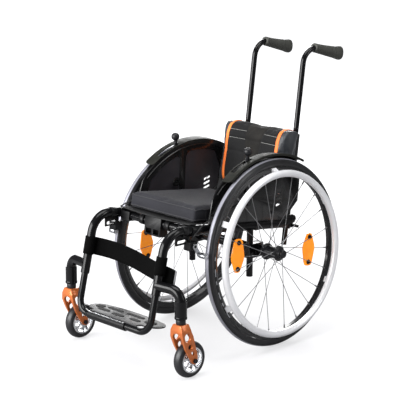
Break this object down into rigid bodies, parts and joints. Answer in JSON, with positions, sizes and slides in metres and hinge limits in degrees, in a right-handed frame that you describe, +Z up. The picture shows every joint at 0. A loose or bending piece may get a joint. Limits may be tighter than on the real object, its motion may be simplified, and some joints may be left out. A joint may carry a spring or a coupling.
{
  "type": "manual wheelchair",
  "caption": "Rigid-frame active wheelchair for a child with cambered rear wheels, orange caster forks, side guards, low padded back and push handles.",
  "frame": {"origin": "on the floor, under the middle of the chair's outline", "axes": "+Z up; the chair faces -Y; the user's left side is +X"},
  "size_m": [0.508, 0.825, 0.8383],
  "materials": {
    "tyre": "semi-gloss moulded rubber with a fine hatched tread",
    "rim": "black anodised aluminium, satin gloss",
    "spoke": "bright drawn steel wire",
    "hub": "black anodised hub shell",
    "bearing": "ground steel",
    "handrim": "bright silver anodised",
    "reflector": "orange moulded reflector",
    "frame": "gloss black powder coat",
    "bracket": "satin black",
    "socket": "grey anodised",
    "button": "black",
    "caster_tyre": "black solid polyurethane, semi-gloss",
    "caster_wheel": "bright machined",
    "fork": "orange anodised aluminium",
    "bolt": "black zinc",
    "sling": "black woven nylon",
    "cushion": "charcoal stretch fabric",
    "pad": "black spacer mesh with grey stitching and orange piping",
    "guard": "gloss black moulded",
    "fender": "satin black moulded",
    "strap": "black webbing",
    "lever": "black, ball knob satin",
    "steel": "grey steel",
    "cable": "black cable sleeve",
    "grip": "textured rubber",
    "footplate": "grey anodised with black pads"
  },
  "bodies": {
    "frame": {"wheel_axles": "steel", "axle_sockets": "socket", "camber_tube": "frame", "axle_posts": "frame", "stem_bearings": "bearing", "left_side_tube": "frame", "right_side_tube": "frame", "caster_arms": "frame", "seat_cross_tube": "frame", "cross_tube_clamps": "bracket", "seat_sling": "sling", "seat_cushion": "cushion", "side_guards": "guard", "fenders": "fender", "calf_strap": "strap", "guard_lugs": "bracket", "brake_mounts": "bracket", "brake_cables": "cable", "back_brackets": "bracket"},
    "left_wheel": {"left_tyre": "tyre", "left_rim": "rim", "left_spokes": "spoke", "left_hub": "hub", "left_hub_bearings": "bearing", "left_handrim": "handrim", "left_reflectors": "reflector"},
    "left_release_button": {"left_axle_button": "button"},
    "left_fork": {"left_caster_fork": "fork", "left_caster_bolt": "bolt"},
    "left_caster": {"left_caster_tyre": "caster_tyre", "left_caster_wheel": "caster_wheel", "left_caster_bearings": "bearing"},
    "left_brake_hand_lever": {"left_brake_lever": "lever"},
    "left_brake_shoe": {"left_brake_arm": "steel"},
    "left_push_handle": {"left_push_tube": "frame", "left_push_grip": "grip"},
    "right_wheel": {"right_tyre": "tyre", "right_rim": "rim", "right_spokes": "spoke", "right_hub": "hub", "right_hub_bearings": "bearing", "right_handrim": "handrim", "right_reflectors": "reflector"},
    "right_release_button": {"right_axle_button": "button"},
    "right_fork": {"right_caster_fork": "fork", "right_caster_bolt": "bolt"},
    "right_caster": {"right_caster_tyre": "caster_tyre", "right_caster_wheel": "caster_wheel", "right_caster_bearings": "bearing"},
    "right_brake_hand_lever": {"right_brake_lever": "lever"},
    "right_brake_shoe": {"right_brake_arm": "steel"},
    "right_push_handle": {"right_push_tube": "frame", "right_push_grip": "grip"},
    "backrest": {"back_frame": "frame", "back_sling": "sling", "back_pad": "pad", "handle_clamps": "bracket"},
    "footrest": {"foot_tube": "frame"},
    "foot_plate": {"footplate": "footplate", "footplate_clamp": "bracket"}
  },
  "joints": [
    {"name": "left_wheel_spin", "type": "hinge", "parent": "frame", "child": "left_wheel", "pos_m": [0.1875, 0.04535, 0.2694], "axis": [0.9977, 0, 0.068], "continuous": true},
    {"name": "left_axle_release", "type": "slide", "parent": "frame", "child": "left_release_button", "axis": [0.9977, 0, 0.068], "range_m": [-0.0025, 0], "stiffness_N_per_m": 800},
    {"name": "left_caster_swivel", "type": "hinge", "parent": "frame", "child": "left_fork", "pos_m": [0.2275, -0.35865, 0.18], "axis": [0, 0, 1], "continuous": true},
    {"name": "left_caster_spin", "type": "hinge", "parent": "left_fork", "child": "left_caster", "pos_m": [0.2275, -0.32665, 0.051], "axis": [1, 0, 0], "continuous": true},
    {"name": "left_brake_pull", "type": "hinge", "parent": "frame", "child": "left_brake_hand_lever", "pos_m": [0.15233, -0.02465, 0.43239], "axis": [0.9977, 0, 0.068], "range_deg": [0, 30]},
    {"name": "left_brake_press", "type": "hinge", "parent": "frame", "child": "left_brake_shoe", "pos_m": [0.17, -0.25165, 0.339], "axis": [1, 0, 0], "range_deg": [0, 14.4]},
    {"name": "left_handle_height", "type": "slide", "parent": "backrest", "child": "left_push_handle", "axis": [0, 0.1253, 0.9921], "range_m": [-0.02, 0.045]},
    {"name": "right_wheel_spin", "type": "hinge", "parent": "frame", "child": "right_wheel", "pos_m": [-0.1875, 0.04535, 0.2694], "axis": [0.9977, 0, -0.068], "continuous": true},
    {"name": "right_axle_release", "type": "slide", "parent": "frame", "child": "right_release_button", "axis": [-0.9977, 0, 0.068], "range_m": [-0.0025, 0], "stiffness_N_per_m": 800},
    {"name": "right_caster_swivel", "type": "hinge", "parent": "frame", "child": "right_fork", "pos_m": [-0.2275, -0.35865, 0.18], "axis": [0, 0, 1], "continuous": true},
    {"name": "right_caster_spin", "type": "hinge", "parent": "right_fork", "child": "right_caster", "pos_m": [-0.2275, -0.32665, 0.051], "axis": [1, 0, 0], "continuous": true},
    {"name": "right_brake_pull", "type": "hinge", "parent": "frame", "child": "right_brake_hand_lever", "pos_m": [-0.15233, -0.02465, 0.43239], "axis": [0.9977, 0, -0.068], "range_deg": [0, 30]},
    {"name": "right_brake_press", "type": "hinge", "parent": "frame", "child": "right_brake_shoe", "pos_m": [-0.17, -0.25165, 0.339], "axis": [1, 0, 0], "range_deg": [0, 14.4]},
    {"name": "right_handle_height", "type": "slide", "parent": "backrest", "child": "right_push_handle", "axis": [0, 0.1253, 0.9921], "range_m": [-0.02, 0.045]},
    {"name": "back_fold", "type": "hinge", "parent": "frame", "child": "backrest", "pos_m": [0, 0.19735, 0.33], "axis": [1, 0, 0], "range_deg": [0, 18]},
    {"name": "footrest_height", "type": "slide", "parent": "frame", "child": "footrest", "axis": [0, 0.2284, 0.9736], "range_m": [-0.05, 0.02]},
    {"name": "footplate_angle", "type": "hinge", "parent": "footrest", "child": "foot_plate", "pos_m": [0, -0.39998, 0.117], "axis": [1, 0, 0], "range_deg": [-10, 12]}
  ],
  "couplings": [
    {"joint": "left_brake_press", "follows": "left_brake_pull", "ratio": 0.48},
    {"joint": "right_brake_press", "follows": "right_brake_pull", "ratio": 0.48}
  ]
}
